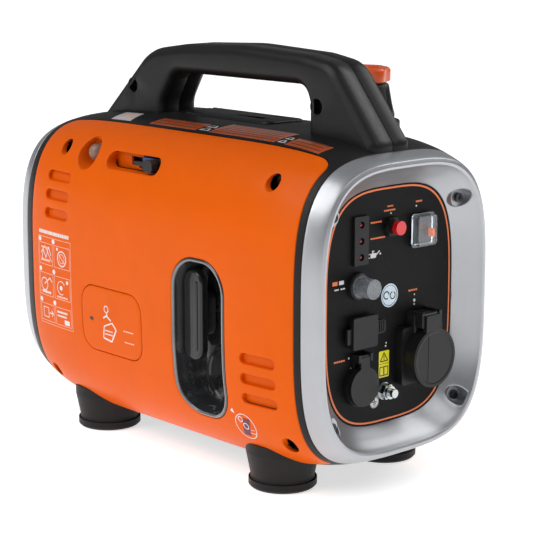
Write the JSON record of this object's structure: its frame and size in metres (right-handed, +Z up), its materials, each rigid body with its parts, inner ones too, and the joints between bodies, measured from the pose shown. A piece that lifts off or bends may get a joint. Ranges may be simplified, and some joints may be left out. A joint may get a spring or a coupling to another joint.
{
  "type": "inverter generator",
  "caption": "Suitcase inverter generator: barrel-shaped orange and black housing with carrying handle, recoil starter, silver end rings and a panel of sockets and switches.",
  "frame": {"origin": "on the ground under the middle of the housing", "axes": "+X along the housing towards the control panel, +Z up, starter side faces -Y"},
  "size_m": [0.45, 0.2505, 0.3975],
  "materials": {
    "casing_black": "moulded black plastic with a fine spark texture",
    "cover_orange": "satin moulded orange plastic",
    "bezel_silver": "metallic silver paint on plastic",
    "panel_black": "fine matt overlay",
    "foot_rubber": "moulded rubber",
    "smoked_plastic": "glossy dark grey plastic",
    "grip_black": "moulded black plastic",
    "rope": "braided cord",
    "cap_black": "moulded black plastic",
    "knob_orange": "moulded orange plastic",
    "bulb_clear": "translucent soft plastic",
    "led_red": "dark red lens",
    "button_red": "glossy red plastic",
    "clear_boot": "clear soft plastic",
    "socket_black": "moulded black plastic",
    "zinc_steel": "bright zinc plate",
    "screw_black": "black oxide",
    "frame_black": "black paint",
    "engine_alloy": "die-cast",
    "steel": "ground steel",
    "ceramic": "glazed ceramic",
    "winding": "copper winding on a lacquered core",
    "shroud_black": "moulded black plastic",
    "spring_steel": "blued spring steel",
    "muffler_steel": "heat resistant paint",
    "tank_plastic": "blow-moulded plastic",
    "heatsink": "extruded, finned"
  },
  "bodies": {
    "housing": {"left_casing": "casing_black", "right_casing": "casing_black", "left_side_cover": "cover_orange", "right_side_cover": "cover_orange", "front_bezel": "bezel_silver", "rear_bezel": "bezel_silver", "control_panel": "panel_black", "rear_grille": "panel_black", "rubber_feet": "foot_rubber", "recoil_surround": "smoked_plastic", "filler_neck": "cap_black", "led_block": "socket_black", "led_lenses": "led_red", "reset_base": "socket_black", "eco_frame": "socket_black", "eco_cover": "clear_boot", "breaker_boot": "clear_boot", "usb_socket": "socket_black", "dc_socket": "socket_black", "ac_socket": "socket_black", "ground_bolt": "zinc_steel", "housing_screws": "screw_black", "chassis": "frame_black", "rubber_mounts": "foot_rubber", "crankcase": "engine_alloy", "cylinder_barrel": "engine_alloy", "rocker_cover": "frame_black", "spark_plug": "ceramic", "plug_cap": "foot_rubber", "stator": "winding", "fan_shroud": "shroud_black", "recoil_housing": "frame_black", "recoil_spring": "spring_steel", "ignition_coil": "shroud_black", "carburettor": "engine_alloy", "air_filter": "shroud_black", "muffler": "muffler_steel", "fuel_tank": "tank_plastic", "fuel_hose": "foot_rubber", "inverter_module": "heatsink"},
    "grip": {"starter_grip": "grip_black", "starter_rope": "rope"},
    "pulley": {"recoil_pulley": "shroud_black"},
    "rotor": {"crankshaft": "steel", "flywheel": "steel", "cooling_fan": "shroud_black"},
    "cap_seal": {"fuel_cap_seal": "foot_rubber"},
    "cap": {"fuel_cap": "cap_black"},
    "vent_knob": {"fuel_cap_vent": "knob_orange"},
    "choke": {"choke_lever": "grip_black"},
    "primer": {"primer_bulb": "bulb_clear"},
    "reset": {"reset_button": "button_red"},
    "rocker": {"eco_rocker": "button_red"},
    "breaker": {"dc_breaker": "socket_black"},
    "usb_lid": {"usb_cover": "foot_rubber"},
    "battery_lid": {"dc_lid": "socket_black"},
    "mains_lid": {"ac_lid": "socket_black"},
    "earth_nut": {"ground_nut": "zinc_steel"},
    "hatch": {"spark_plug_hatch": "casing_black"},
    "oil_door": {"oil_cover": "cover_orange"}
  },
  "joints": [
    {"name": "starter_pull", "type": "slide", "parent": "housing", "child": "grip", "axis": [0, -1, 0], "range_m": [0, 0.45], "stiffness_N_per_m": 20, "springref_m": -0.4, "deforming": ["starter_rope"]},
    {"name": "recoil_spin", "type": "hinge", "parent": "housing", "child": "pulley", "pos_m": [0.061, 0, 0.122], "axis": [1, 0, 0], "range_deg": [0, 760]},
    {"name": "crank_spin", "type": "hinge", "parent": "housing", "child": "rotor", "pos_m": [0, 0, 0.122], "axis": [1, 0, 0], "continuous": true},
    {"name": "cap_lift", "type": "slide", "parent": "housing", "child": "cap_seal", "axis": [0, 0, 1], "range_m": [0, 0.06]},
    {"name": "cap_turn", "type": "hinge", "parent": "cap_seal", "child": "cap", "pos_m": [0.105, 0.058, 0.345], "axis": [0, 0, 1], "range_deg": [0, 120]},
    {"name": "vent_turn", "type": "hinge", "parent": "cap", "child": "vent_knob", "pos_m": [0.105, 0.058, 0.365], "axis": [0, 0, 1], "range_deg": [0, 90]},
    {"name": "choke_slide", "type": "slide", "parent": "housing", "child": "choke", "axis": [-1, 0, 0], "range_m": [0, 0.036]},
    {"name": "primer_push", "type": "slide", "parent": "housing", "child": "primer", "axis": [0, 1, 0], "range_m": [0, 0.005], "stiffness_N_per_m": 300, "springref_m": -0.002},
    {"name": "reset_push", "type": "slide", "parent": "housing", "child": "reset", "axis": [-1, 0, 0], "range_m": [0, 0.0022], "stiffness_N_per_m": 500, "springref_m": -0.002},
    {"name": "eco_rock", "type": "hinge", "parent": "housing", "child": "rocker", "pos_m": [0.2013, 0.0395, 0.237], "axis": [0, 1, 0], "range_deg": [-18, 0]},
    {"name": "breaker_push", "type": "slide", "parent": "housing", "child": "breaker", "axis": [-1, 0, 0], "range_m": [0, 0.0022], "stiffness_N_per_m": 500, "springref_m": -0.002},
    {"name": "usb_open", "type": "hinge", "parent": "housing", "child": "usb_lid", "pos_m": [0.2068, -0.0585, 0.152], "axis": [0, 0, -1], "range_deg": [0, 110]},
    {"name": "dc_open", "type": "hinge", "parent": "housing", "child": "battery_lid", "pos_m": [0.2093, -0.0395, 0.131], "axis": [0, -1, 0], "range_deg": [0, 120], "stiffness_Nm_per_rad": 0.01, "springref_deg": -28.65},
    {"name": "ac_open", "type": "hinge", "parent": "housing", "child": "mains_lid", "pos_m": [0.2183, 0.036, 0.1586], "axis": [0, -1, 0], "range_deg": [0, 120], "stiffness_Nm_per_rad": 0.03, "springref_deg": -28.65},
    {"name": "earth_turn", "type": "hinge", "parent": "housing", "child": "earth_nut", "pos_m": [0.2103, -0.0095, 0.094], "axis": [1, 0, 0], "continuous": true},
    {"name": "hatch_lift", "type": "slide", "parent": "housing", "child": "hatch", "axis": [0, 0, 1], "range_m": [0, 0.02]},
    {"name": "oil_door_pull", "type": "slide", "parent": "housing", "child": "oil_door", "axis": [0, -1, 0], "range_m": [0, 0.05]}
  ],
  "couplings": [
    {"joint": "recoil_spin", "follows": "starter_pull", "rad_per_m": 29.412}
  ]
}
